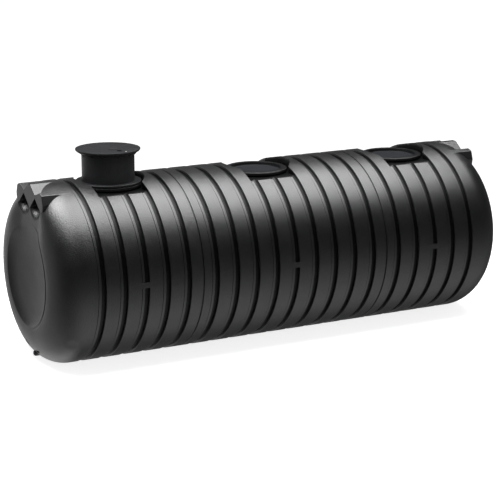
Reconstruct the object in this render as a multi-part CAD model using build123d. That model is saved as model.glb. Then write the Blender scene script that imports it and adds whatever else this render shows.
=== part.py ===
from build123d import *
import math
import os

# Underground septic tank: a ribbed barrel welded from three moulded lengths, a dished end on each
# side with moulded lifting lugs, three manhole necks sunk into the crown, an access shaft with its
# lid on the left neck and flush covers in the other two. Sizes are in millimetres and degrees.
# X runs along the tank, Z is up and the tank stands on z = 0, centred on X and Y.

# Barrel section
crest_radius = 1050.0  # outside of the rib crests
wall = 12.0  # moulded wall
groove_depth = 30.0
groove_width = 56.0  # at its mouth
groove_slope = 9.0  # run of each groove side
ledge_width = 40.0  # lower shelf on the left side of each groove
ledge_drop = 9.0
ledge_ramp = 6.0

# Barrel length
groove_pitch = 260.0
middle_grooves = 9
end_grooves = 5
seam_gap = 350.0  # from the last groove of one length to the first of the next
seam_bevel = 5.0  # V line where two lengths are welded
end_land = 100.0  # from the last groove to the dished end
quarter_turn = 90.0  # each length is split into crown, flanks and base

# Standing face moulded along the underside
stand_half_width = 210.0

# Parting line bridges that fill the manholes' grooves at mid height
bridge_height = 64.0

# Dished end
shoulder_land = 50.0  # straight stretch before the shoulder bends in
shoulder_radius = 365.0
shoulder_turn = 65.0
brow_radius = 471.0  # flatter arc from the shoulder to the rim
rim_round = 60.0  # from the rim into the recess
rim_turn = 45.0
recess_step = 16.0
dish_depth = 48.0  # of the hollow inside the step

# Lifting lugs, at the top and the bottom of each end
lug_spacing = 347.0
lug_crest_half = 34.0
lug_face_inset = 86.0  # from the end's furthest point to the lugs' end faces
lug_valley_drop = 100.0  # valley between two lugs, below the crest
lug_flank_out = 68.0  # widest point of an outer lug, from its middle
lug_flank_drop = 112.0  # and how far that point is below its crest
lug_foot_out = 53.0
lug_foot_drop = 190.0
pocket_apex_drop = 132.0
pocket_half_width = 136.0
pocket_wide_drop = 250.0
pocket_tip_drop = 350.0
pocket_back = 160.0  # depth behind the lugs' end faces
lug_window_drop = 382.0
lug_window_half = 420.0

# Manholes
manhole_floor_drop = 126.0  # flat pocket floor, below the crest
manhole_pocket_radius = 410.0
opening_radius = 285.0  # hole through the pocket floor
neck_height = 55.0
neck_socket_radius = 305.0
neck_socket_depth = 38.0
neck_seat_radius = 298.0
neck_wall_radius = 338.0
neck_rim_radius = 353.0
neck_flange_radius = 378.0
neck_flange_drop = 9.0
neck_flange_height = 28.0
neck_undercut = 7.0
cover_clearance = 0.5
cover_bevel = 3.0

# Access shaft and lid on the left manhole
shaft_radius = 303.0
shaft_wall = 12.0
shaft_clearance = 0.5
collar_height = 26.0
collar_bevel = 6.0
shaft_height = 417.0  # from the socket's step to the underside of the lid
lid_radius = 372.0
lid_thickness = 15.0
lid_bevel = 3.0
lid_spigot_depth = 14.0
lid_spigot_clearance = 2.0
lid_panel_radius = 318.0
lid_panel_depth = 3.0
lid_boss_length = 92.0
lid_boss_width = 46.0
lid_slot_length = 70.0
lid_slot_width = 26.0
lid_slot_depth = 8.0
lid_slot_offset = 215.0
frame_lip = 9.0
frame_cone_height = 42.0
frame_foot_thickness = 9.0
tab_count = 12
tab_width = 14.0
tab_height = 30.0
tab_reach = 30.0

overrun = 40.0  # how far a cutting tool passes the part

# Places worked out from the sizes above
skin = groove_depth + wall  # crest to the plain inside face
inner_radius = crest_radius - skin
middle_last = (middle_grooves - 1) / 2 * groove_pitch
seam_x = middle_last + seam_gap / 2
end_first = seam_x + seam_gap / 2
end_last = end_first + (end_grooves - 1) * groove_pitch
end_x = end_last + end_land
end_middle = (end_first + end_last) / 2
axis_height = math.sqrt(crest_radius**2 - stand_half_width**2)
pocket_floor = crest_radius - manhole_floor_drop
neck_top = pocket_floor + neck_height
socket_floor = neck_top - neck_socket_depth
shoulder_x = end_x + shoulder_land
bend_x = shoulder_x - (brow_radius - shoulder_radius) * math.sin(math.radians(shoulder_turn))
tip_x = bend_x + brow_radius
rim_height = crest_radius - shoulder_radius - (brow_radius - shoulder_radius) * math.cos(
    math.radians(shoulder_turn)
)
lug_face_x = tip_x - lug_face_inset
lid_seat = socket_floor + shaft_height
manholes = {"left": -end_middle, "middle": 0.0, "right": end_middle}

lengths = {
    "left": (-end_x, -seam_x, [-end_last + i * groove_pitch for i in range(end_grooves)]),
    "middle": (-seam_x, seam_x, [-middle_last + i * groove_pitch for i in range(middle_grooves)]),
    "right": (seam_x, end_x, [end_first + i * groove_pitch for i in range(end_grooves)]),
}


def save(solid, name):
    """Stand the piece on the floor and write it."""
    solid = Pos(0, 0, axis_height) * solid
    solid.label = name
    export_step(solid, os.path.join("parts", name + ".step"))


def around_axis(outline, start, turn):
    """Turn an (x, radius) outline about the tank's axis, from start degrees off the crown."""
    face = make_face(Plane.XZ * Polyline(*outline, close=True))
    return revolve(Rot(start, 0, 0) * face, Axis.X, turn)


def groove_outline(x):
    """Ledge and groove, from the crest on the left to the crest on the right."""
    half = groove_width / 2
    return [
        (x - half - ledge_width, crest_radius),
        (x - half - ledge_width + ledge_ramp, crest_radius - ledge_drop),
        (x - half, crest_radius - ledge_drop),
        (x - half + groove_slope, crest_radius - groove_depth),
        (x + half - groove_slope, crest_radius - groove_depth),
        (x + half, crest_radius),
    ]


def barrel_outline(side, bore):
    """Section of one length of barrel down to the radius of its bore."""
    low, high, grooves = lengths[side]
    left_bevel = 0 if side == "left" else seam_bevel
    right_bevel = 0 if side == "right" else seam_bevel
    outline = [(low, bore), (low, crest_radius - left_bevel)]
    if left_bevel:
        outline.append((low + left_bevel, crest_radius))
    for x in grooves:
        outline += groove_outline(x)
    if right_bevel:
        outline.append((high - right_bevel, crest_radius))
    return outline + [(high, crest_radius - right_bevel), (high, bore)]


def manhole_space(x, grow, bottom):
    """Room of a manhole pocket: flat across the two ribs beside it, and round into the next two."""
    left = groove_pitch + groove_width / 2 + ledge_width + grow
    right = groove_pitch + groove_width / 2 + grow
    height = crest_radius + overrun - bottom
    deck = Box(left + right, crest_radius * 2, height, align=(Align.CENTER, Align.CENTER, Align.MIN))
    well = Cylinder(manhole_pocket_radius + grow, height, align=(Align.CENTER, Align.CENTER, Align.MIN))
    return Pos(x + (right - left) / 2, 0, bottom) * deck + Pos(x, 0, bottom) * well


def crown(side):
    """Top quarter of a length, with its sunk manhole pocket."""
    x = manholes[side]
    start = -quarter_turn / 2
    shell = around_axis(barrel_outline(side, inner_radius), start, quarter_turn)
    backing_radius = pocket_floor - manhole_floor_drop
    backing = around_axis(barrel_outline(side, backing_radius), start, quarter_turn)
    shell += backing & manhole_space(x, wall, pocket_floor - wall)
    shell -= manhole_space(x, 0, pocket_floor)
    return shell - Pos(x, 0, pocket_floor) * Cylinder(opening_radius, overrun)


def bridge(x, start):
    """Filled stretch of ledge and groove on the mould's parting line."""
    turn = math.degrees(bridge_height / crest_radius)
    outline = [
        (x - groove_width / 2 - ledge_width, crest_radius - groove_depth - wall / 2),
        (x - groove_width / 2 - ledge_width, crest_radius),
        (x + groove_width / 2, crest_radius),
        (x + groove_width / 2, crest_radius - groove_depth - wall / 2),
    ]
    return around_axis(outline, start - turn / 2, turn)


def flank(side, middle_angle):
    """Side quarter of a length, its middle at the height of the axis."""
    outline = barrel_outline(side, inner_radius)
    shell = around_axis(outline, middle_angle - quarter_turn / 2, quarter_turn)
    return shell + bridge(manholes[side], middle_angle)


def below_stand():
    """Everything that would reach lower than the standing face."""
    size = (tip_x + overrun) * 2
    return Pos(0, 0, -axis_height) * Box(size, size, size, align=(Align.CENTER, Align.CENTER, Align.MAX))


def base(side):
    """Bottom quarter of a length, flat along its underside."""
    shell = around_axis(barrel_outline(side, inner_radius), quarter_turn * 1.5, quarter_turn)
    return shell - below_stand()


def end_profile(inset):
    """Edges of the end's outline from the barrel to the axis, moved in by the inset."""
    centre = (shoulder_x, crest_radius - shoulder_radius)
    brow_centre = (tip_x - brow_radius, rim_height)
    rim_centre = (tip_x - rim_round, rim_height)
    land = Line((end_x, crest_radius - inset), (shoulder_x, crest_radius - inset))
    shoulder = CenterArc(centre, shoulder_radius - inset, quarter_turn, -shoulder_turn)
    brow = CenterArc(brow_centre, brow_radius - inset, quarter_turn - shoulder_turn, shoulder_turn - quarter_turn)
    rim = CenterArc(rim_centre, rim_round - inset, 0, -rim_turn)
    foot = rim @ 1 + (rim % 1) * recess_step
    step = Line(rim @ 1, foot)
    middle_x = foot.X - dish_depth
    dish_radius = (foot.Y**2 + dish_depth**2) / (2 * dish_depth)
    half = foot.Y / 2
    halfway = (middle_x + dish_radius - math.sqrt(dish_radius**2 - half**2), half)
    return [land, shoulder, brow, rim, step, ThreePointArc(foot, halfway, (middle_x, 0))]


def end_solid(inset):
    """Filled body of the end out to its outside face, or to its inside face by the inset."""
    edges = end_profile(inset)
    edges += [Line(edges[-1] @ 1, (end_x, 0)), Line((end_x, 0), (end_x, crest_radius - inset))]
    face = Rot(quarter_turn, 0, 0) * make_face(Plane.XZ * Curve(edges))
    return revolve(face, Axis.X, 360)


def lug_centre(side):
    """Middle of a lug's crest: 0 in the middle, 1 or -1 for an outer one."""
    y = side * lug_spacing
    return y, math.sqrt(crest_radius**2 - y**2)


def yz_prism(outline, low, high):
    """Straight prism along X of an outline in (y, z)."""
    face = make_face(Plane.YZ * Polyline(*outline, close=True))
    return extrude(Pos(low, 0, 0) * face, high - low, dir=(1, 0, 0))


def lug_ridges():
    """The three ridges with the valleys between them, down to the end's wall."""
    outer_y, outer_z = lug_centre(1)
    tilt = math.atan2(outer_y, outer_z)
    across = lug_crest_half * math.cos(tilt)
    down = lug_crest_half * math.sin(tilt)
    half = [
        (lug_crest_half, crest_radius),
        (lug_spacing / 2, crest_radius - lug_valley_drop),
        (outer_y - across, outer_z + down),
        (outer_y + across, outer_z - down),
        (outer_y + lug_flank_out, outer_z - lug_flank_drop),
        (outer_y + lug_foot_out, outer_z - lug_foot_drop),
        (outer_y + lug_foot_out, crest_radius - lug_window_drop),
    ]
    outline = half + [(-y, z) for y, z in reversed(half)]
    return yz_prism(outline, end_x, lug_face_x)


def lug_window():
    """Stretch of the end that the lugs and their pockets take up."""
    bottom = crest_radius - lug_window_drop
    outline = [
        (-lug_window_half, bottom),
        (-lug_window_half, crest_radius + overrun),
        (lug_window_half, crest_radius + overrun),
        (lug_window_half, bottom),
    ]
    return yz_prism(outline, end_x, tip_x + overrun)


def lug_pocket(side, grow):
    """Kite-shaped pocket under a valley, open at the end."""
    y = side * lug_spacing / 2
    apex = (y, crest_radius - pocket_apex_drop + grow)
    right = (y + pocket_half_width + grow, crest_radius - pocket_wide_drop)
    left = (y - pocket_half_width - grow, crest_radius - pocket_wide_drop)
    tip = (y, crest_radius - pocket_tip_drop - grow)
    sides = [Line(left, apex), Line(apex, right), ThreePointArc(right, tip, left)]
    back = lug_face_x - pocket_back - grow
    face = Pos(back, 0, 0) * make_face(Plane.YZ * Curve(sides))
    return extrude(face, tip_x + overrun - back, dir=(1, 0, 0))


def right_end():
    """Dished end and the top lugs of the right end, before the left end is mirrored from it."""
    outside = end_solid(0)
    shell = outside - end_solid(skin)
    window = lug_window()
    lugs = (shell & window) + (lug_ridges() - outside)
    for side in (-1, 1):
        lugs += lug_pocket(side, wall) & outside & window
    for side in (-1, 1):
        lugs -= lug_pocket(side, 0)
    dish = shell - window - Rot(180, 0, 0) * window
    return dish, lugs


def ring(outline):
    """Turned piece about the Z axis, from an (r, z) outline."""
    return revolve(make_face(Plane.XZ * Polyline(*outline, close=True)), Axis.Z, 360)


def neck():
    """Manhole neck: socket for a shaft, seat for a flush cover and an undercut rim flange."""
    flange_top = neck_top - neck_flange_drop
    flange_low = flange_top - neck_flange_height
    return ring([
        (neck_seat_radius, pocket_floor),
        (neck_seat_radius, socket_floor),
        (neck_socket_radius, socket_floor),
        (neck_socket_radius, neck_top),
        (neck_rim_radius, neck_top),
        (neck_flange_radius, flange_top),
        (neck_flange_radius, flange_low),
        (neck_wall_radius, flange_low - neck_undercut),
        (neck_wall_radius, pocket_floor),
    ])


def neck_cover():
    """Blank cover that closes a neck, flush with the step of its socket."""
    radius = neck_seat_radius - cover_clearance
    return ring([
        (0, pocket_floor),
        (radius, pocket_floor),
        (radius, socket_floor - cover_bevel),
        (radius - cover_bevel, socket_floor),
        (0, socket_floor),
    ])


def shaft_tube():
    """Plain tube of the access shaft, standing on the step in the left neck."""
    inside = shaft_radius - shaft_wall
    return ring([
        (inside, socket_floor),
        (shaft_radius, socket_floor),
        (shaft_radius, lid_seat),
        (inside, lid_seat),
    ])


def shaft_collar():
    """Clamp collar round the shaft, bearing on the neck's rim."""
    inside = shaft_radius + shaft_clearance
    top = neck_top + collar_height
    return ring([
        (inside, neck_top),
        (neck_flange_radius, neck_top),
        (neck_flange_radius, top - collar_bevel),
        (neck_flange_radius - collar_bevel, top),
        (inside, top),
    ])


def lid_frame():
    """Cone that carries the lid at the top of the shaft, with small stiffening tabs."""
    inside = shaft_radius + shaft_clearance
    foot = inside + frame_foot_thickness
    low = lid_seat - frame_cone_height
    cone = ring([
        (inside, low),
        (foot, low),
        (lid_radius - frame_lip, lid_seat - frame_lip),
        (lid_radius - frame_lip, lid_seat),
        (inside, lid_seat),
    ])
    tab_outline = [
        (inside, low - tab_height / 2),
        (foot, low - tab_height / 2),
        (foot + tab_reach, low + tab_height),
        (inside, low + tab_height),
    ]
    tab = make_face(Plane.XZ * Polyline(*tab_outline, close=True))
    tab = extrude(tab, tab_width / 2, both=True)
    for i in range(tab_count):
        cone += Rot(0, 0, i * 360 / tab_count) * tab
    return cone - Pos(0, 0, low - tab_height) * Cylinder(
        inside, frame_cone_height * 2 + tab_height, align=(Align.CENTER, Align.CENTER, Align.MIN)
    )


def lid():
    """Round lid with a sunk tread panel, an oval boss and a lifting slot."""
    top = lid_seat + lid_thickness
    spigot = shaft_radius - shaft_wall - lid_spigot_clearance
    plate = ring([
        (0, lid_seat - lid_spigot_depth),
        (spigot, lid_seat - lid_spigot_depth),
        (spigot, lid_seat),
        (lid_radius, lid_seat),
        (lid_radius, top - lid_bevel),
        (lid_radius - lid_bevel, top),
        (lid_panel_radius, top),
        (lid_panel_radius, top - lid_panel_depth),
        (0, top - lid_panel_depth),
    ])
    boss = extrude(SlotOverall(lid_boss_length, lid_boss_width), lid_panel_depth)
    plate += Pos(0, 0, top - lid_panel_depth) * boss
    slot = extrude(SlotOverall(lid_slot_length, lid_slot_width), lid_slot_depth)
    return plate - Pos(lid_slot_offset, 0, top - lid_slot_depth) * slot


os.makedirs("parts", exist_ok=True)

for side in lengths:
    save(crown(side), side + "_barrel_crown")
    save(flank(side, quarter_turn), side + "_barrel_near_flank")
    save(flank(side, -quarter_turn), side + "_barrel_far_flank")
    save(base(side), side + "_barrel_base")
    save(Pos(manholes[side], 0, 0) * neck(), side + "_manhole_neck")

dish, top_lugs = right_end()
bottom_lugs = Rot(180, 0, 0) * top_lugs - below_stand()
dish -= below_stand()
save(dish, "right_end_dish")
save(top_lugs, "right_top_lugs")
save(bottom_lugs, "right_bottom_lugs")
save(mirror(dish, Plane.YZ), "left_end_dish")
save(mirror(top_lugs, Plane.YZ), "left_top_lugs")
save(mirror(bottom_lugs, Plane.YZ), "left_bottom_lugs")

for side in ("middle", "right"):
    save(Pos(manholes[side], 0, 0) * neck_cover(), side + "_manhole_cover")

at_shaft = Pos(manholes["left"], 0, 0)
save(at_shaft * shaft_collar(), "shaft_collar")
save(at_shaft * shaft_tube(), "shaft_tube")
save(at_shaft * lid_frame(), "lid_frame")
save(at_shaft * lid(), "lid")
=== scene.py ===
import math

import bmesh
import bpy
import numpy as np
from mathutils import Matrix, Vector


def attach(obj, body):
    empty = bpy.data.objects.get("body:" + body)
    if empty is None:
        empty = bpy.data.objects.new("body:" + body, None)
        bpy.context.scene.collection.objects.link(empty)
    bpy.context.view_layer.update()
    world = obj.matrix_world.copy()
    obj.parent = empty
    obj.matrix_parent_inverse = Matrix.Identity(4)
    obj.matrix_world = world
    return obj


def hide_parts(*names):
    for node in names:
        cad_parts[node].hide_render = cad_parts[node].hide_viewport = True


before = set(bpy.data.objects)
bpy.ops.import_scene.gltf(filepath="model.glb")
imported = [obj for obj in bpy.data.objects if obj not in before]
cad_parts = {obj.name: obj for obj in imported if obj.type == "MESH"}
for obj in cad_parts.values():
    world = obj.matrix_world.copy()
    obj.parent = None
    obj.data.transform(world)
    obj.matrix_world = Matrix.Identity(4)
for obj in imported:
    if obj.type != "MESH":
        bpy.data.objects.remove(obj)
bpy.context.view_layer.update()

# Metres and degrees. X runs along the tank, the camera stands on the -Y side, the floor is z = 0.


# Meshes from grids

def roundedLoop(corners, radius, steps):
    # Each corner becomes an arc that touches both of its sides. The arc is a conic from one
    # touching point to the other, with the corner weighted by the sine of half its angle.
    corners = np.asarray(corners, float)
    before = np.roll(corners, 1, axis=0) - corners
    after = np.roll(corners, -1, axis=0) - corners
    beforeLength = np.linalg.norm(before, axis=1)
    afterLength = np.linalg.norm(after, axis=1)
    before = before / beforeLength[:, None]
    after = after / afterLength[:, None]
    half = np.arccos(np.clip((before * after).sum(axis=1), -1, 1)) / 2
    reach = np.minimum(radius / np.tan(half), 0.45 * np.minimum(beforeLength, afterLength))
    start = (corners + before * reach[:, None])[:, None]
    stop = (corners + after * reach[:, None])[:, None]
    s = np.linspace(0, 1, steps + 1)[None, :, None]
    weight = np.sin(half)[:, None, None]
    a, b, c = (1 - s) ** 2, 2 * s * (1 - s) * weight, s ** 2
    points = ((a * start + b * corners[:, None] + c * stop) / (a + b + c)).reshape(-1, 2)
    gap = np.linalg.norm(points - np.roll(points, 1, axis=0), axis=1)
    return points[gap > 1e-6]


def arc(centre, radius, start, turn, steps):
    # Points at even angles on a circle, in degrees from the first direction towards the second.
    angle = np.radians(np.linspace(start, start + turn, steps + 1))
    return np.stack([centre[0] + radius * np.cos(angle), centre[1] + radius * np.sin(angle)], axis=1)


def outward(outline):
    # Unit normals of a closed outline, pointing away from its inside.
    along = np.roll(outline, -1, axis=0) - np.roll(outline, 1, axis=0)
    normal = np.stack([along[:, 1], -along[:, 0]], axis=1)
    normal /= np.linalg.norm(normal, axis=1)[:, None]
    nextPoint = np.roll(outline, -1, axis=0)
    area = (outline[:, 0] * nextPoint[:, 1] - outline[:, 1] * nextPoint[:, 0]).sum()
    return normal * np.sign(area)


def gridFaces(rows, columns, closeRows):
    # Quads between neighbouring rows and columns. Columns always close up, rows only if asked.
    index = np.arange(rows * columns).reshape(rows, columns)
    right = np.roll(index, -1, axis=1)
    below = np.roll(index, -1, axis=0)
    belowRight = np.roll(below, -1, axis=1)
    quads = np.stack([index, right, belowRight, below], axis=2)
    if not closeRows:
        quads = quads[:-1]
    return quads.reshape(-1, 4)


def newPiece(name, points, faces):
    # A closed mesh with its doubles merged and its faces turned outwards.
    mesh = bpy.data.meshes.new(name)
    mesh.from_pydata(points.reshape(-1, 3).tolist(), [], faces)
    work = bmesh.new()
    work.from_mesh(mesh)
    bmesh.ops.remove_doubles(work, verts=work.verts, dist=1e-6)
    loose = [edge for edge in work.edges if not edge.link_faces]
    bmesh.ops.delete(work, geom=loose, context="EDGES")
    bmesh.ops.recalc_face_normals(work, faces=work.faces)
    work.to_mesh(mesh)
    work.free()
    piece = bpy.data.objects.new(name, mesh)
    bpy.context.scene.collection.objects.link(piece)
    return piece


def lathe(name, outline, x, turns):
    # Each (radius, height) point of a closed outline goes round an upright axis at x.
    angle = np.linspace(0, 2 * np.pi, turns, endpoint=False)
    radius, height = outline[:, 0:1], outline[:, 1:2]
    points = np.stack([
        x + radius * np.cos(angle),
        radius * np.sin(angle),
        height + 0 * angle,
    ], axis=2)
    return newPiece(name, points, gridFaces(len(outline), turns, True).tolist())


def prism(name, outline, low, high, roundLow, roundHigh, steps=5):
    # A closed (y, z) outline carried along x. At a rounded end it draws in along its own normals
    # as a quarter circle, and both ends are closed by one flat face.
    turn = np.linspace(0, np.pi / 2, steps)
    lowEnd = low + roundLow * (1 - np.sin(turn[::-1]))
    x = np.concatenate([lowEnd, high - roundHigh * (1 - np.sin(turn))])
    inset = np.concatenate([roundLow * (1 - np.cos(turn[::-1])), roundHigh * (1 - np.cos(turn))])
    ring = outline[None] - outward(outline)[None] * inset[:, None, None]
    points = np.concatenate([np.broadcast_to(x[:, None, None], ring.shape[:2] + (1,)), ring], axis=2)
    rows, columns = ring.shape[:2]
    faces = gridFaces(rows, columns, False).tolist()
    faces.append(list(range(columns)))
    faces.append(list(range((rows - 1) * columns, rows * columns)))
    return newPiece(name, points, faces)


def upright(name, outline, low, high):
    # A closed (x, y) outline carried straight up, closed by a flat face at each end.
    height = np.array([low, high])[:, None, None]
    ring = np.broadcast_to(outline[None], (2,) + outline.shape)
    points = np.concatenate([ring, np.broadcast_to(height, ring.shape[:2] + (1,))], axis=2)
    columns = len(outline)
    faces = gridFaces(2, columns, False).tolist()
    faces.append(list(range(columns)))
    faces.append(list(range(columns, 2 * columns)))
    return newPiece(name, points, faces)


def combine(piece, tool, operation):
    # Exact union or difference with a tool that is used up.
    change = piece.modifiers.new(operation, "BOOLEAN")
    change.operation = operation
    change.solver = "EXACT"
    change.object = tool
    graph = bpy.context.evaluated_depsgraph_get()
    mesh = bpy.data.meshes.new_from_object(piece.evaluated_get(graph))
    piece.modifiers.clear()
    piece.data = mesh
    bpy.data.objects.remove(tool)


def finishPiece(piece, material, replaced, sharpAngle=28):
    # Smooth over the round stretches, crisp at the real edges.
    mesh = piece.data
    mesh.materials.clear()
    mesh.materials.append(material)
    mesh.shade_smooth()
    mesh.set_sharp_from_angle(angle=math.radians(sharpAngle))
    weighting = piece.modifiers.new("even shading", "WEIGHTED_NORMAL")
    weighting.keep_sharp = True
    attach(piece, "root")
    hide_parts(*replaced)


# Sizes of the barrel, which the rest is placed by

barrel = {
    "crest": 1.050,
    "bore": 0.880,
    "grooveDepth": 0.036,
    "grooveWidth": 0.056,
    "grooveSlope": 0.004,
    "ledgeWidth": 0.040,
    "ledgeDrop": 0.009,
    "ledgeRamp": 0.006,
    "ledgeLine": 0.006,
    "pitch": 0.260,
    "middleGrooves": 9,
    "endGrooves": 5,
    "seamGap": 0.350,
    "slotHalf": 0.009,
    "slotDepth": 0.015,
    "endLand": 0.100,
    "edgeRound": 0.0035,
    "edgeSteps": 4,
    "turns": 240,
    "standHalf": 0.210,
    "bridgeHeight": 0.064,
    "bridgeRamp": 0.003,
    "bridgeMargin": 0.004,
    # Painted shade in the grooves and pocket floors: full below the crest less the first depth, none
    # above the crest less the second.
    "paintedShadeFrom": 0.030,
    "paintedShadeTo": 0.014,
}
crest = barrel["crest"]
axisHeight = math.sqrt(crest ** 2 - barrel["standHalf"] ** 2)
middleLast = (barrel["middleGrooves"] - 1) / 2 * barrel["pitch"]
seamX = middleLast + barrel["seamGap"] / 2
endFirst = seamX + barrel["seamGap"] / 2
endLast = endFirst + (barrel["endGrooves"] - 1) * barrel["pitch"]
endX = endLast + barrel["endLand"]
manholes = {"left": -(endFirst + endLast) / 2, "middle": 0.0, "right": (endFirst + endLast) / 2}


# Materials

def plastic(name, look, paintedShadeDepths=None):
    # Near-black moulded plastic: a fine grain, a slow waviness and a finish that is a little
    # uneven. Given two distances from the tank's axis, the colour and the gloss are painted darker
    # below them: painted shade in the grooves and pockets.
    material = bpy.data.materials.new(name)
    material.use_nodes = True
    nodes, links = material.node_tree.nodes, material.node_tree.links
    shader = nodes["Principled BSDF"]
    shader.inputs["IOR"].default_value = look["ior"]
    place = nodes.new("ShaderNodeTexCoord")

    def noise(scale, detail):
        # Cloudy value from 0 to 1 that is fixed to the piece.
        texture = nodes.new("ShaderNodeTexNoise")
        texture.inputs["Scale"].default_value = scale
        texture.inputs["Detail"].default_value = detail
        links.new(place.outputs["Object"], texture.inputs["Vector"])
        return texture.outputs["Fac"]

    cloud = noise(look["cloudScale"], 3)
    tint = nodes.new("ShaderNodeMix")
    tint.data_type = "RGBA"
    tint.inputs["A"].default_value = look["dark"] + (1,)
    tint.inputs["B"].default_value = look["light"] + (1,)
    links.new(cloud, tint.inputs["Factor"])
    # Painted shade: the colour darkens towards the axis, in the grooves and the pocket floors.
    if paintedShadeDepths:
        spot = nodes.new("ShaderNodeVectorMath")
        spot.operation = "MULTIPLY_ADD"
        spot.inputs[1].default_value = (0, 1, 1)
        spot.inputs[2].default_value = (0, 0, -axisHeight)
        links.new(place.outputs["Object"], spot.inputs[0])
        reach = nodes.new("ShaderNodeVectorMath")
        reach.operation = "LENGTH"
        links.new(spot.outputs["Vector"], reach.inputs[0])
        paintedShadeFactor = nodes.new("ShaderNodeMapRange")
        paintedShadeFactor.inputs["From Min"].default_value, paintedShadeFactor.inputs["From Max"].default_value = paintedShadeDepths
        paintedShadeFactor.inputs["To Min"].default_value = look["paintedShadeLeft"]
        links.new(reach.outputs["Value"], paintedShadeFactor.inputs["Value"])
        shade = nodes.new("ShaderNodeVectorMath")
        shade.operation = "SCALE"
        links.new(tint.outputs["Result"], shade.inputs["Vector"])
        links.new(paintedShadeFactor.outputs["Result"], shade.inputs["Scale"])
        links.new(shade.outputs["Vector"], shader.inputs["Base Color"])
        # The same painted shade lowers the gloss, so the grooves also reflect less.
        gloss = nodes.new("ShaderNodeMath")
        gloss.operation = "MULTIPLY"
        gloss.inputs[1].default_value = look["gloss"]
        links.new(paintedShadeFactor.outputs["Result"], gloss.inputs[0])
        links.new(gloss.outputs["Value"], shader.inputs["Specular IOR Level"])
    else:
        links.new(tint.outputs["Result"], shader.inputs["Base Color"])

    finish = nodes.new("ShaderNodeMapRange")
    finish.inputs["From Min"].default_value, finish.inputs["From Max"].default_value = look["finishRange"]
    finish.inputs["To Min"].default_value = look["smooth"]
    finish.inputs["To Max"].default_value = look["rough"]
    links.new(noise(look["finishScale"], 4), finish.inputs["Value"])
    links.new(finish.outputs["Result"], shader.inputs["Roughness"])

    wave = nodes.new("ShaderNodeBump")
    wave.inputs["Strength"].default_value = 1
    wave.inputs["Distance"].default_value = look["waveHeight"]
    links.new(noise(look["waveScale"], 1), wave.inputs["Height"])
    grain = nodes.new("ShaderNodeBump")
    grain.inputs["Strength"].default_value = look["grain"]
    grain.inputs["Distance"].default_value = look["grainHeight"]
    links.new(noise(look["grainScale"], 2), grain.inputs["Height"])
    links.new(wave.outputs["Normal"], grain.inputs["Normal"])
    links.new(grain.outputs["Normal"], shader.inputs["Normal"])
    return material


shellLook = {
    "dark": (0.0048, 0.0050, 0.0055),
    "light": (0.0066, 0.0069, 0.0075),
    "ior": 1.85,
    "smooth": 0.33,
    "rough": 0.39,
    "cloudScale": 1.6,
    "finishScale": 5.0,
    "finishRange": (0.3, 0.7),
    "waveScale": 3.5,
    "waveHeight": 0.0012,
    "grainScale": 75.0,
    "grain": 0.7,
    "grainHeight": 0.0040,
    "gloss": 0.5,
    # Share of colour and gloss that is left where the painted shade is full.
    "paintedShadeLeft": 0.30,
}
shaftLook = {
    **shellLook,
    "dark": (0.0085, 0.0090, 0.0100),
    "light": (0.0115, 0.0121, 0.0133),
    "ior": 1.5,
    "smooth": 0.40,
    "rough": 0.48,
    "waveHeight": 0.0004,
}
neckLook = {
    **shellLook,
    "ior": 1.45,
    "waveHeight": 0.0004,
}
coverLook = {
    **shaftLook,
    "dark": (0.009, 0.0102, 0.0125),
    "light": (0.013, 0.0145, 0.0172),
    "ior": 1.38,
    "smooth": 0.44,
    "rough": 0.52,
}
lidLook = {
    **shaftLook,
    "dark": (0.0070, 0.0074, 0.0083),
    "light": (0.0100, 0.0105, 0.0116),
    "ior": 1.42,
    "smooth": 0.42,
    "rough": 0.52,
    "grainScale": 34.0,
    "grain": 0.9,
    "grainHeight": 0.0060,
}
shellPlastic = plastic("shell_plastic", shellLook)
# Depths of the painted shade: the barrel's plastic is painted darker and less glossy in its grooves and
# pocket floors.
grooveShade = (crest - barrel["paintedShadeFrom"], crest - barrel["paintedShadeTo"])
ribbedShadedPlastic = plastic("ribbed_plastic_painted_shade", shellLook, grooveShade)
neckPlastic = plastic("neck_plastic", neckLook)
shaftPlastic = plastic("shaft_plastic", shaftLook)
coverPlastic = plastic("cover_plastic", coverLook)
lidPlastic = plastic("lid_plastic", lidLook)


def plainMaterial(name, values):
    # Even material, with one value for each socket that is named.
    material = bpy.data.materials.new(name)
    material.use_nodes = True
    for socket, value in values.items():
        material.node_tree.nodes["Principled BSDF"].inputs[socket].default_value = value
    return material


steelLook = {"Base Color": (0.52, 0.52, 0.52, 1), "Metallic": 0.4, "Roughness": 0.45}
# Key slot: near black with almost no gloss, painted shade that stands in for the dark hollow of the slot.
slotShadeLook = {"Base Color": (0.002, 0.002, 0.002, 1), "Specular IOR Level": 0.02}
screwSteel = plainMaterial("screw_steel", steelLook)
slotPaintedShade = plainMaterial("slot_painted_shade", slotShadeLook)
print("materials made")


# Barrel: three ribbed lengths

def grooveCorners(places):
    # Fine line and ledge on the left, then the groove, repeated at each place along the barrel.
    half = barrel["grooveWidth"] / 2
    outer = half + barrel["ledgeWidth"]
    shelf = crest - barrel["ledgeDrop"]
    bed = crest - barrel["grooveDepth"]
    one = np.array([
        (-outer, crest),
        (-outer + barrel["ledgeRamp"] / 2, shelf - barrel["ledgeLine"]),
        (-outer + barrel["ledgeRamp"], shelf - barrel["ledgeLine"]),
        (-outer + barrel["ledgeRamp"] * 1.5, shelf),
        (-half, shelf),
        (-half + barrel["grooveSlope"], bed),
        (half - barrel["grooveSlope"], bed),
        (half, crest),
    ])
    shift = np.stack([places, 0 * places], axis=1)
    return (one[None] + shift[:, None]).reshape(-1, 2)


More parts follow.
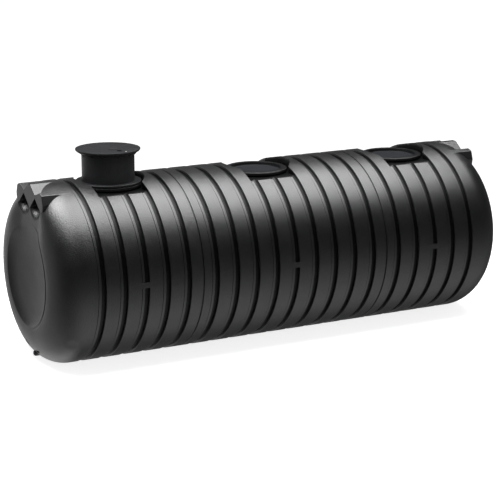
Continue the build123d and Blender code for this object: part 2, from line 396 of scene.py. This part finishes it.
def barrelLength(name, low, high, places, manholeX, seams):
    # The outline goes round the tank's axis. Where a bridge lies, the radius is the crest's, and
    # nothing goes lower than the floor.
    slot = crest - barrel["slotDepth"]
    corners = [(high, barrel["bore"]), (low, barrel["bore"])]
    if "low" in seams:
        corners += [(low, slot), (low + barrel["slotHalf"], slot), (low + barrel["slotHalf"], crest)]
    else:
        corners += [(low, crest)]
    corners += grooveCorners(places).tolist()
    if "high" in seams:
        corners += [(high - barrel["slotHalf"], crest), (high - barrel["slotHalf"], slot), (high, slot)]
    else:
        corners += [(high, crest)]
    corners = np.array(corners)
    atEnd = (corners[:, 0] == low) | (corners[:, 0] == high)
    outline = roundedLoop(corners, np.where(atEnd, 0, barrel["edgeRound"]), barrel["edgeSteps"])

    side = np.pi / 2
    halfBridge = barrel["bridgeHeight"] / 2 / crest
    ramp = barrel["bridgeRamp"] / crest
    extra = np.array([-halfBridge, -halfBridge + ramp, halfBridge - ramp, halfBridge])
    angle = np.linspace(0, 2 * np.pi, barrel["turns"], endpoint=False)
    angle = np.sort(np.concatenate([angle, side + extra, -side + 2 * np.pi + extra]))
    fromSide = np.abs(np.abs(angle - np.pi) - side)
    x = outline[:, 0:1] + 0 * angle
    radius = outline[:, 1:2] + 0 * angle
    half = barrel["grooveWidth"] / 2
    margin = barrel["bridgeMargin"]
    inGroove = (x > manholeX - half - barrel["ledgeWidth"] - margin) & (x < manholeX + half + margin)
    raised = inGroove & (fromSide < halfBridge - ramp / 2)[None] & (radius > barrel["bore"] + margin)
    radius = np.where(raised, crest, radius)
    y = radius * np.sin(angle)
    z = np.maximum(axisHeight + radius * np.cos(angle), 0)
    points = np.stack([x, y, z], axis=2)
    return newPiece(name, points, gridFaces(len(outline), len(angle), True).tolist())


pocket = {"floorDrop": 0.126, "wellRadius": 0.410, "overrun": 0.060, "reach": 0.620, "steps": 24}


def manholePocket(x):
    # Plan of the pocket: a band across the two ribs beside the manhole, and a circle round it.
    left = barrel["pitch"] + barrel["grooveWidth"] / 2 + barrel["ledgeWidth"]
    right = barrel["pitch"] + barrel["grooveWidth"] / 2
    radius = pocket["wellRadius"]
    rightTurn = math.degrees(math.acos(right / radius))
    leftTurn = math.degrees(math.acos(left / radius))
    reach = pocket["reach"]
    plan = np.concatenate([
        [(x + right, -reach)],
        arc((x, 0), radius, -rightTurn, 2 * rightTurn, pocket["steps"]),
        [(x + right, reach), (x - left, reach)],
        arc((x, 0), radius, 180 - leftTurn, 2 * leftTurn, pocket["steps"]),
        [(x - left, -reach)],
    ])
    low = axisHeight + crest - pocket["floorDrop"]
    return upright("manhole_pocket", plan, low, axisHeight + crest + pocket["overrun"])


pitch = barrel["pitch"]
endGrooves = pitch * np.arange(barrel["endGrooves"])
middleGrooves = pitch * np.arange(barrel["middleGrooves"])
lengths = {
    "left": (-endX, -seamX, -endLast + endGrooves, ("high",)),
    "middle": (-seamX, seamX, -middleLast + middleGrooves, ("low", "high")),
    "right": (seamX, endX, endFirst + endGrooves, ("low",)),
}
for side, (low, high, places, seams) in lengths.items():
    piece = barrelLength(side + "_barrel", low, high, places, manholes[side], seams)
    combine(piece, manholePocket(manholes[side]), "DIFFERENCE")
    quarters = [side + "_barrel_" + quarter for quarter in ("crown", "near_flank", "far_flank", "base")]
    # The barrel lengths get the plastic with painted shade in the grooves and the pocket floor.
    finishPiece(piece, ribbedShadedPlastic, quarters)
    print(side, "barrel made:", len(piece.data.polygons), "faces")


# Dished ends with their lifting lugs

end = {
    "shoulderLand": 0.050,
    "shoulderRadius": 0.365,
    "shoulderTurn": 65,
    "browRadius": 0.471,
    "browTurn": 30,
    "rimRound": 0.020,
    "rimTurn": 34,
    "recessRound": 0.300,
    "recessTurn": 29,
    "lineWidth": 0.012,
    "lineDepth": 0.030,
    "facetHalf": 0.260,
    "facetDrop": 0.400,
    "facetSides": 0.30,
    "facetFoot": 0.16,
    "facetBlend": 0.022,
    "facetStart": 0.010,
    "turns": 320,
}
shoulderX = endX + end["shoulderLand"]
growth = end["browRadius"] - end["shoulderRadius"]
shoulderTurn = math.radians(end["shoulderTurn"])
browCentre = np.array([
    shoulderX - growth * math.sin(shoulderTurn),
    crest - end["shoulderRadius"] - growth * math.cos(shoulderTurn),
])
browStop = math.radians(90 - end["shoulderTurn"] - end["browTurn"])
rimReach = end["browRadius"] - end["rimRound"]
rimCentre = browCentre + rimReach * np.array([math.cos(browStop), math.sin(browStop)])
dimple = {"place": (-2.720, -0.794, -0.643), "radius": 0.100, "depth": 0.005}


def endOutline():
    # Arcs that run into each other from the barrel to the axis. Shoulder, brow and rim bulge,
    # the recess and the dish are hollow, and each starts at the angle where the last one stops.
    shoulderCentre = (shoulderX, crest - end["shoulderRadius"])
    shoulder = arc(shoulderCentre, end["shoulderRadius"], 90, -end["shoulderTurn"], 40)
    angle = 90 - end["shoulderTurn"]
    brow = arc(browCentre, end["browRadius"], angle, -end["browTurn"], 70)
    angle -= end["browTurn"]
    rim = arc(rimCentre, end["rimRound"], angle, -end["rimTurn"], 14)
    angle += 180 - end["rimTurn"]
    slope = math.radians(angle)
    recessCentre = rim[-1] - end["recessRound"] * np.array([math.cos(slope), math.sin(slope)])
    recess = arc(recessCentre, end["recessRound"], angle, end["recessTurn"], 40)
    angle += end["recessTurn"]
    slope = math.radians(angle)
    dishRadius = recess[-1, 1] / math.sin(slope)
    dishX = recess[-1, 0] - dishRadius * math.cos(slope)
    dish = arc((dishX, 0), dishRadius, angle, 180 - angle, 24)
    dish[-1, 1] = 0
    inside = [(endX, 0), (endX, crest)]
    return np.concatenate([inside, shoulder, brow[1:], rim[1:], recess[1:], dish[1:]])


def endShell(name, side):
    # The outline goes round the tank's axis. The facet round the lugs is level with their faces
    # and rises to the sides and downwards. The surface is the lower of the two, blended as half
    # their sum less the root of half their difference squared and a small square.
    outline = endOutline()
    angle = np.linspace(0, 2 * np.pi, end["turns"], endpoint=False)
    x = outline[:, 0:1] + 0 * angle
    y = outline[:, 1:2] * np.sin(angle)
    z = outline[:, 1:2] * np.cos(angle)
    soft = 2 * end["facetBlend"]
    beside = np.abs(y) - end["facetHalf"]
    beside = (beside + np.hypot(beside, soft)) / 2
    below = crest - end["facetDrop"] - z
    below = (below + np.hypot(below, soft)) / 2
    facet = lug["faceX"] + end["facetSides"] * beside + end["facetFoot"] * below
    blended = (x + facet) / 2 - np.sqrt(((x - facet) / 2) ** 2 + end["facetBlend"] ** 2)
    x = np.where(x > endX + end["facetStart"], blended, x)
    # A fine line runs along the inside of the rim on the camera's side. Its depth falls off as a
    # bell curve across it, and with the squared sine of the angle towards the top and the bottom.
    lineRadius = rimCentre[1] + end["lineWidth"]
    acrossLine = np.exp(-((outline[:, 1:2] - lineRadius) / end["lineWidth"]) ** 2)
    lineDepth = np.where(outline[:, 0:1] > shoulderX, end["lineDepth"], 0)
    x = x - lineDepth * acrossLine * np.sin(angle) ** 2 * (y < 0)
    points = np.stack([side * x, y, z], axis=2)
    if side < 0:
        away = np.linalg.norm(points - np.array(dimple["place"]), axis=2)
        sink = dimple["depth"] * (1 + np.cos(np.pi * np.minimum(away / dimple["radius"], 1))) / 2
        inwards = np.array([side * browCentre[0], 0, 0]) - points
        inwards /= np.linalg.norm(inwards, axis=2)[:, :, None]
        points = points + inwards * sink[:, :, None]
    points[:, :, 2] = np.maximum(points[:, :, 2] + axisHeight, 0)
    return newPiece(name, points, gridFaces(len(outline), end["turns"], True).tolist())


lug = {
    "spacing": 0.347,
    "crestHalf": 0.034,
    "faceX": 2.8765,
    "valleyDrop": 0.100,
    "flankOut": 0.068,
    "flankDrop": 0.112,
    "footOut": 0.053,
    "footDrop": 0.190,
    "apexDrop": 0.132,
    "pocketHalf": 0.158,
    "wideDrop": 0.262,
    "tipDrop": 0.372,
    "pocketDepth": 0.160,
    "rootDrop": 0.392,
    "crestRound": 0.014,
    "faceRound": 0.008,
    "pocketRound": 0.016,
    "lip": 0.09,
    "lipDepth": 0.25,
    "taper": 0.42,
    "backShare": 0.9,
    "backDraw": 0.12,
    "rootX": 0.004,
}
foot = {
    "half": 0.030,
    "low": 0.966,
    "high": 0.900,
    "faceX": 2.885,
    "pocketOut": 0.135,
    "pocketHalf": 0.050,
    "apex": 0.915,
    "wide": 0.870,
    "tip": 0.795,
    "pocketDepth": {"near": 0.012, "far": 0.110},
    "edge": 0.024,
    "faceRound": 0.026,
    "lip": 0.04,
    "lipDepth": 0.10,
    "taper": 0.15,
    "backShare": 0.9,
    "backDraw": 0.12,
    "pocketRound": 0.008,
}


def lugOutline():
    # Three ridges side by side with valleys between them, down to a root inside the end.
    outerY = lug["spacing"]
    outerZ = math.sqrt(crest ** 2 - outerY ** 2)
    tilt = math.atan2(outerY, outerZ)
    across = lug["crestHalf"] * math.cos(tilt)
    down = lug["crestHalf"] * math.sin(tilt)
    half = [
        (lug["crestHalf"], crest),
        (outerY / 2, crest - lug["valleyDrop"]),
        (outerY - across, outerZ + down),
        (outerY + across, outerZ - down),
        (outerY + lug["flankOut"], outerZ - lug["flankDrop"]),
        (outerY + lug["footOut"], outerZ - lug["footDrop"]),
        (outerY + lug["footOut"], crest - lug["rootDrop"]),
    ]
    corners = np.array(half + [(-y, z) for y, z in reversed(half)])
    return roundedLoop(corners, lug["crestRound"], 5)


def kiteOutline(y, apex, wide, tip, half, radius):
    # Two straight sides from the apex, and a round end through the tip. Its circle passes the
    # tip and the two widest points.
    drop = wide - tip
    bowl = (half ** 2 + drop ** 2) / (2 * drop)
    turn = math.degrees(math.acos((bowl - drop) / bowl))
    bottom = arc((y, tip + bowl), bowl, 270 + turn, -2 * turn, 18)
    return roundedLoop(np.concatenate([bottom, [(y, apex)]]), radius, 4)


def pocketTool(outline, apex, depth, sizes, side):
    # The outline shrinks towards its apex on the way in. A lip flares as a quarter circle at the
    # mouth, and the last share of the depth draws in with its square to round the back.
    lipDepth, backShare = sizes["lipDepth"], sizes["backShare"]
    lipSteps = lipDepth * (1 - np.cos(np.linspace(0, np.pi / 2, 7)))
    wallSteps = np.linspace(lipDepth, backShare, 6)[1:]
    t = np.concatenate([[-1.0], lipSteps, wallSteps, [0.96, 1.0]])
    mouth = np.clip(1 - t / lipDepth, 0, 1)
    back = np.clip((t - backShare) / (1 - backShare), 0, 1)
    flare = sizes["lip"] * (1 - np.sqrt(1 - mouth ** 2))
    scale = 1 + flare - sizes["taper"] * np.clip(t, 0, 1) - sizes["backDraw"] * back ** 2
    ring = apex + (outline[None] - apex) * scale[:, None, None]
    x = side * (lug["faceX"] - depth * t)
    points = np.concatenate([np.broadcast_to(x[:, None, None], ring.shape[:2] + (1,)), ring], axis=2)
    rows, columns = ring.shape[:2]
    faces = gridFaces(rows, columns, False).tolist()
    faces += [list(range(columns)), list(range((rows - 1) * columns, rows * columns))]
    return newPiece("lug_pocket", points, faces)


def dishedEnd(name, side):
    # The shell with ridges added and pockets sunk beside them, at the top and at the bottom.
    piece = endShell(name, side)
    ridges = lugOutline() + (0, axisHeight)
    footLow, footHigh = foot["low"], foot["high"]
    footCorners = np.array([(-1, footLow), (1, footLow), (1, footHigh), (-1, footHigh)])
    footLoop = roundedLoop(footCorners * (foot["half"], -1), foot["edge"], 5) + (0, axisHeight)
    for outline, sizes in ((ridges, lug), (footLoop, foot)):
        low, high, faceRound = endX + lug["rootX"], sizes["faceX"], sizes["faceRound"]
        if side < 0:
            tool = prism("lug_ridges", outline, -high, -low, faceRound, 0)
        else:
            tool = prism("lug_ridges", outline, low, high, 0, faceRound)
        combine(piece, tool, "UNION")
    for across, depth in ((-1, foot["pocketDepth"]["near"]), (1, foot["pocketDepth"]["far"])):
        y = across * lug["spacing"] / 2
        apex, wide, tip = crest - lug["apexDrop"], crest - lug["wideDrop"], crest - lug["tipDrop"]
        outline = kiteOutline(y, apex, wide, tip, lug["pocketHalf"], lug["pocketRound"]) + (0, axisHeight)
        tool = pocketTool(outline, np.array([y, axisHeight + apex]), lug["pocketDepth"], lug, side)
        combine(piece, tool, "DIFFERENCE")
        y = across * foot["pocketOut"]
        apex, wide, tip = foot["apex"], foot["wide"], foot["tip"]
        outline = kiteOutline(y, apex, wide, tip, foot["pocketHalf"], foot["pocketRound"])
        outline = outline * (1, -1) + (0, axisHeight)
        tool = pocketTool(outline, np.array([y, axisHeight - apex]), depth, foot, side)
        combine(piece, tool, "DIFFERENCE")
    return piece


for name, side in (("left", -1), ("right", 1)):
    piece = dishedEnd(name + "_end", side)
    nodesThere = [name + "_end_dish", name + "_top_lugs", name + "_bottom_lugs"]
    finishPiece(piece, shellPlastic, nodesThere)
    print(name, "end made:", len(piece.data.polygons), "faces")


# Manhole necks and blank covers

neck = {
    "seatRadius": 0.298,
    "socketRadius": 0.305,
    "wallRadius": 0.338,
    "rimRadius": 0.353,
    "flangeRadius": 0.378,
    "height": 0.055,
    "socketDepth": 0.038,
    "flangeDrop": 0.009,
    "flangeHeight": 0.028,
    "undercut": 0.007,
    "edge": 0.003,
    "turns": 128,
}
floorZ = axisHeight + crest - pocket["floorDrop"]
neckTop = floorZ + neck["height"]
socketFloor = neckTop - neck["socketDepth"]


def manholeNeck(side):
    # Socket with a step inside, and an undercut flange round the rim.
    flangeTop = neckTop - neck["flangeDrop"]
    flangeLow = flangeTop - neck["flangeHeight"]
    corners = [
        (neck["seatRadius"], floorZ),
        (neck["seatRadius"], socketFloor),
        (neck["socketRadius"], socketFloor),
        (neck["socketRadius"], neckTop),
        (neck["rimRadius"], neckTop),
        (neck["flangeRadius"], flangeTop),
        (neck["flangeRadius"], flangeLow),
        (neck["wallRadius"], flangeLow - neck["undercut"]),
        (neck["wallRadius"], floorZ),
    ]
    outline = roundedLoop(corners, neck["edge"], 3)
    return lathe(side + "_neck", outline, manholes[side], neck["turns"])


cover = {"gap": 0.0005, "edge": 0.003, "rimInside": 0.240, "rimRise": 0.003}


def blankCover(side):
    # Flat plate that is a little lower inside its rim.
    radius = neck["seatRadius"] - cover["gap"]
    plate = socketFloor - cover["rimRise"]
    corners = [
        (0, floorZ),
        (radius, floorZ),
        (radius, socketFloor),
        (cover["rimInside"], socketFloor),
        (cover["rimInside"], plate),
        (0, plate),
    ]
    rounding = np.array([0, 1, 1, 1, 1, 0]) * cover["edge"]
    return lathe(side + "_cover", roundedLoop(corners, rounding, 3), manholes[side], neck["turns"])


for side in ("left", "middle", "right"):
    finishPiece(manholeNeck(side), neckPlastic, [side + "_manhole_neck"])
for side in ("middle", "right"):
    finishPiece(blankCover(side), coverPlastic, [side + "_manhole_cover"])
print("necks and covers made")


# Access shaft and lid

shaft = {
    "radius": 0.303,
    "wall": 0.012,
    "gap": 0.0005,
    "height": 0.417,
    "collarHeight": 0.026,
    "collarEdge": 0.006,
    "turns": 128,
}
lidSizes = {
    "radius": 0.372,
    "thickness": 0.015,
    "edge": 0.0035,
    "spigotDepth": 0.014,
    "spigotGap": 0.002,
    "panelRadius": 0.318,
    "panelDepth": 0.003,
    "coneHeight": 0.042,
    "frameLip": 0.009,
    "frameFoot": 0.009,
    "tabs": 12,
    "tabWidth": 0.014,
    "tabHeight": 0.030,
    "tabReach": 0.030,
}
shaftX = manholes["left"]
lidSeat = socketFloor + shaft["height"]
lidTop = lidSeat + lidSizes["thickness"]

tubeCorners = [
    (shaft["radius"] - shaft["wall"], socketFloor),
    (shaft["radius"], socketFloor),
    (shaft["radius"], lidSeat),
    (shaft["radius"] - shaft["wall"], lidSeat),
]
tube = lathe("shaft_pipe", roundedLoop(tubeCorners, 0.001, 2), shaftX, shaft["turns"])
finishPiece(tube, shaftPlastic, ["shaft_tube"])

collarInside = shaft["radius"] + shaft["gap"]
collarCorners = [
    (collarInside, neckTop),
    (neck["flangeRadius"], neckTop),
    (neck["flangeRadius"], neckTop + shaft["collarHeight"]),
    (collarInside, neckTop + shaft["collarHeight"]),
]
collarOutline = roundedLoop(collarCorners, shaft["collarEdge"], 4)
collar = lathe("shaft_collar_ring", collarOutline, shaftX, shaft["turns"])
finishPiece(collar, shaftPlastic, ["shaft_collar"])

frameOut = lidSizes["radius"] - lidSizes["frameLip"]
frameLow = lidSeat - lidSizes["coneHeight"]
frameFoot = collarInside + lidSizes["frameFoot"]
frameCorners = [
    (collarInside, frameLow),
    (frameFoot, frameLow),
    (frameOut, lidSeat - lidSizes["frameLip"]),
    (frameOut, lidSeat),
    (collarInside, lidSeat),
]
lidFrame = lathe("lid_cone", roundedLoop(frameCorners, 0.002, 3), shaftX, shaft["turns"])


def tabGrid(angle):
    # Slanting rib under the lid: a thin upright plate set out from the shaft at one angle.
    out = np.array([collarInside, frameFoot, frameFoot + lidSizes["tabReach"], collarInside])
    up = frameLow + np.array([-0.5, -0.5, 1.0, 1.0]) * lidSizes["tabHeight"]
    across = np.array([-0.5, 0.5])[:, None] * lidSizes["tabWidth"]
    x = shaftX + out * math.cos(angle) - across * math.sin(angle)
    y = out * math.sin(angle) + across * math.cos(angle)
    return np.stack([x, y, np.broadcast_to(up, x.shape)], axis=2)


for tab in range(lidSizes["tabs"]):
    grid = tabGrid(2 * np.pi * tab / lidSizes["tabs"])
    faces = gridFaces(2, 4, False).tolist() + [[0, 1, 2, 3], [4, 5, 6, 7]]
    combine(lidFrame, newPiece("tab", grid, faces), "UNION")
finishPiece(lidFrame, shaftPlastic, ["lid_frame"])

spigot = shaft["radius"] - shaft["wall"] - lidSizes["spigotGap"]
panelZ = lidTop - lidSizes["panelDepth"]
lidCorners = [
    (0, lidSeat - lidSizes["spigotDepth"]),
    (spigot, lidSeat - lidSizes["spigotDepth"]),
    (spigot, lidSeat),
    (lidSizes["radius"], lidSeat),
    (lidSizes["radius"], lidTop),
    (lidSizes["panelRadius"], lidTop),
    (lidSizes["panelRadius"], panelZ),
    (0, panelZ),
]
lidRounding = np.array([0, 1, 1, 1, 1, 0.3, 0.3, 0]) * lidSizes["edge"]
lidPiece = lathe("shaft_lid", roundedLoop(lidCorners, lidRounding, 4), shaftX, shaft["turns"])
finishPiece(lidPiece, lidPlastic, ["lid"])

# Small parts of the lid, at places measured from the shaft's axis
fitting = {
    "screws": ((0.0995, -0.293), (-0.0005, 0.328)),
    "screwRadius": 0.011,
    "screwRise": 0.002,
    "slot": (0.0515, -0.212),
    "slotRadius": 0.030,
    "slotRise": 0.0015,
    "hub": (0.0325, -0.078),
    "hubRadius": 0.055,
    "hubRise": 0.0025,
    "sides": 24,
}


def button(name, spot, radius, rise, material):
    # Low round button that stands on the lid's panel.
    rim = arc((shaftX + spot[0], spot[1]), radius, 0, 360, fitting["sides"])[:-1]
    piece = upright(name, rim, panelZ, panelZ + rise)
    piece.data.materials.append(material)
    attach(piece, "root")


for number, spot in enumerate(fitting["screws"], 1):
    name = "lid_screw_" + str(number)
    button(name, spot, fitting["screwRadius"], fitting["screwRise"], screwSteel)
# The key slot is a thin disc in painted shade, standing for the slot's dark hollow.
button("lid_key_slot", fitting["slot"], fitting["slotRadius"], fitting["slotRise"], slotPaintedShade)
button("lid_hub", fitting["hub"], fitting["hubRadius"], fitting["hubRise"], shaftPlastic)
print("shaft and lid made")


# Camera

camera = {
    "place": (-9.366, -17.492, 4.920 + axisHeight),
    "target": (-0.073, 0.0, -0.043 + axisHeight),
    "lens": 121.5,
    "sensor": 36.0,
}
cameraData = bpy.data.cameras.new("camera")
cameraData.lens = camera["lens"]
cameraData.sensor_width = camera["sensor"]
cameraData.dof.use_dof = False
cameraObject = bpy.data.objects.new("camera", cameraData)
cameraObject.location = camera["place"]
looking = Vector(camera["target"]) - Vector(camera["place"])
cameraObject.rotation_euler = looking.to_track_quat("-Z", "Y").to_euler()
bpy.context.scene.collection.objects.link(cameraObject)
bpy.context.scene.camera = cameraObject


# Studio: white floor, a broad soft lamp overhead, a small one at the left, and a dim dome that
# only gloss sees

studio = {
    "floorHalf": 60.0,
    "floorColour": (0.80, 0.80, 0.80),
    "floorLift": 0.82,
    "ambient": 0.30,
    "lampSize": (11.4, 5.0),
    "lampPlace": (0.1, -0.5, 6.4),
    "lampPower": 900.0,
    "leftSize": (2.2, 3.4),
    "leftPlace": (-4.3, 0.9, 5.9),
    "leftTarget": (-2.7, 0.0, 1.8),
    "leftPower": 135.0,
    "domeRadius": 40.0,
    "domeSteps": (24, 48),
    "domeTurn": (-0.3, 0.5),
}
# How bright the dome is from straight down to straight up, and from the left to the right, in
# front of the tank and behind it
domeHeights = ((-1.0, 0.70), (-0.88, 0.78), (-0.75, 0.76), (-0.53, 0.52), (-0.35, 0.34), (-0.25, 0.23),
               (-0.12, 0.13), (0.0, 0.08), (0.13, 0.04), (0.35, 0.003), (1.0, 0.001))
rearHeights = ((-1.0, 0.38), (-0.75, 0.44), (-0.53, 0.40), (-0.35, 0.29), (-0.25, 0.25), (-0.12, 0.32),
               (0.0, 0.33), (0.13, 0.28), (0.35, 0.10), (0.6, 0.003), (1.0, 0.001))
domeFront = ((-1.0, 0.30), (-0.85, 0.35), (-0.65, 0.5), (-0.22, 0.8), (1.0, 0.8))
domeRear = ((-1.0, 0.9), (-0.85, 1.0), (-0.65, 1.1), (-0.42, 1.6), (-0.1, 2.9), (0.2, 1.8),
            (0.4, 0.25), (1.0, 0.25))


def flatSheet(name, corners, faces):
    # Flat mesh that only the stage uses.
    mesh = bpy.data.meshes.new(name)
    mesh.from_pydata(corners, [], faces)
    sheet = bpy.data.objects.new(name, mesh)
    bpy.context.scene.collection.objects.link(sheet)
    return sheet


half = studio["floorHalf"]
floorCorners = [(-half, -half, 0), (half, -half, 0), (half, half, 0), (-half, half, 0)]
floor = flatSheet("floor", floorCorners, [(0, 1, 2, 3)])
floorMaterial = bpy.data.materials.new("floor_white")
floorMaterial.use_nodes = True
nodes, links = floorMaterial.node_tree.nodes, floorMaterial.node_tree.links
nodes.remove(nodes["Principled BSDF"])
ray = nodes.new("ShaderNodeLightPath")
paint = nodes.new("ShaderNodeBsdfDiffuse")
paint.inputs["Color"].default_value = studio["floorColour"] + (1,)
seen = nodes.new("ShaderNodeMath")
seen.operation = "MAXIMUM"
links.new(ray.outputs["Is Camera Ray"], seen.inputs[0])
links.new(ray.outputs["Is Transmission Ray"], seen.inputs[1])
lift = nodes.new("ShaderNodeMath")
lift.operation = "MULTIPLY"
lift.inputs[1].default_value = studio["floorLift"]
links.new(seen.outputs["Value"], lift.inputs[0])
shine = nodes.new("ShaderNodeEmission")
links.new(lift.outputs["Value"], shine.inputs["Strength"])
both = nodes.new("ShaderNodeAddShader")
links.new(paint.outputs["BSDF"], both.inputs[0])
links.new(shine.outputs["Emission"], both.inputs[1])
links.new(both.outputs["Shader"], nodes["Material Output"].inputs["Surface"])
floor.data.materials.append(floorMaterial)
floor.visible_glossy = False

# Dome: rows from the lowest point to the highest, columns round the upright axis.
rows, columns = studio["domeSteps"]
rise = np.linspace(-np.pi / 2, np.pi / 2, rows + 1)[:, None]
around = np.linspace(0, 2 * np.pi, columns, endpoint=False)[None]
spots = studio["domeRadius"] * np.stack([
    np.cos(rise) * np.cos(around), np.cos(rise) * np.sin(around), np.sin(rise) + 0 * around], axis=2)
dome = newPiece("gloss_dome", spots, gridFaces(rows + 1, columns, False).tolist())
domeMaterial = bpy.data.materials.new("dome_glow")
domeMaterial.use_nodes = True
nodes, links = domeMaterial.node_tree.nodes, domeMaterial.node_tree.links
nodes.remove(nodes["Principled BSDF"])
place = nodes.new("ShaderNodeTexCoord")
level = nodes.new("ShaderNodeVectorMath")
level.operation = "NORMALIZE"
links.new(place.outputs["Object"], level.inputs[0])
flat = nodes.new("ShaderNodeVectorMath")
flat.operation = "MULTIPLY"
flat.inputs[1].default_value = (1, 1, 0)
links.new(place.outputs["Object"], flat.inputs[0])
heading = nodes.new("ShaderNodeVectorMath")
heading.operation = "NORMALIZE"
links.new(flat.outputs["Vector"], heading.inputs[0])


def ramp(vector, part, stops):
    # Brightness between stops along one part of a unit vector.
    parts = nodes.new("ShaderNodeSeparateXYZ")
    links.new(vector, parts.inputs["Vector"])
    share = nodes.new("ShaderNodeMapRange")
    share.inputs["From Min"].default_value = -1
    links.new(parts.outputs[part], share.inputs["Value"])
    colours = nodes.new("ShaderNodeValToRGB")
    colours.color_ramp.interpolation = "LINEAR"
    points = colours.color_ramp.elements
    while len(points) < len(stops):
        points.new(0.5)
    for point, (at, value) in zip(points, stops):
        point.position = (at + 1) / 2
        point.color = (value, value, value, 1)
    links.new(share.outputs["Result"], colours.inputs["Fac"])
    return colours.outputs["Color"]


def product(heights, headings):
    # Brightness by height times brightness by heading.
    both = nodes.new("ShaderNodeVectorMath")
    both.operation = "MULTIPLY"
    links.new(ramp(level.outputs["Vector"], "Z", heights), both.inputs[0])
    links.new(ramp(heading.outputs["Vector"], "X", headings), both.inputs[1])
    return both.outputs["Vector"]


rear = nodes.new("ShaderNodeSeparateXYZ")
links.new(heading.outputs["Vector"], rear.inputs["Vector"])
turned = nodes.new("ShaderNodeMapRange")
turned.inputs["From Min"].default_value, turned.inputs["From Max"].default_value = studio["domeTurn"]
links.new(rear.outputs["Y"], turned.inputs["Value"])
sides = nodes.new("ShaderNodeMix")
sides.data_type = "RGBA"
links.new(turned.outputs["Result"], sides.inputs["Factor"])
links.new(product(domeHeights, domeFront), sides.inputs["A"])
links.new(product(rearHeights, domeRear), sides.inputs["B"])
glow = nodes.new("ShaderNodeEmission")
links.new(sides.outputs["Result"], glow.inputs["Color"])
links.new(glow.outputs["Emission"], nodes["Material Output"].inputs["Surface"])
dome.data.materials.append(domeMaterial)
dome.visible_camera = False
dome.visible_diffuse = False
dome.visible_shadow = False
dome.visible_transmission = False
dome.visible_volume_scatter = False


def softLamp(name, size, place, target, power):
    # Rectangular area lamp aimed at a point.
    data = bpy.data.lights.new(name, "AREA")
    data.shape = "RECTANGLE"
    data.size, data.size_y = size
    data.energy = power
    lamp = bpy.data.objects.new(name, data)
    lamp.location = place
    lamp.rotation_euler = (Vector(target) - Vector(place)).to_track_quat("-Z", "Y").to_euler()
    bpy.context.scene.collection.objects.link(lamp)


overhead = studio["lampPlace"]
softLamp("overhead", studio["lampSize"], overhead, (overhead[0], overhead[1], 0), studio["lampPower"])
softLamp("left_top", studio["leftSize"], studio["leftPlace"], studio["leftTarget"], studio["leftPower"])

world = bpy.data.worlds.new("studio")
bpy.context.scene.world = world
world.use_nodes = True
nodes, links = world.node_tree.nodes, world.node_tree.links
ray = nodes.new("ShaderNodeLightPath")
seen = nodes.new("ShaderNodeMath")
seen.operation = "MAXIMUM"
links.new(ray.outputs["Is Camera Ray"], seen.inputs[0])
links.new(ray.outputs["Is Glossy Ray"], seen.inputs[1])
also = nodes.new("ShaderNodeMath")
also.operation = "MAXIMUM"
links.new(seen.outputs["Value"], also.inputs[0])
links.new(ray.outputs["Is Transmission Ray"], also.inputs[1])
level = nodes.new("ShaderNodeMapRange")
level.inputs["To Min"].default_value = studio["ambient"]
level.inputs["To Max"].default_value = 1.0
links.new(also.outputs["Value"], level.inputs["Value"])
links.new(level.outputs["Result"], nodes["Background"].inputs["Strength"])
nodes["Background"].inputs["Color"].default_value = (1, 1, 1, 1)

bpy.context.scene.view_settings.view_transform = "Standard"
print("studio made")
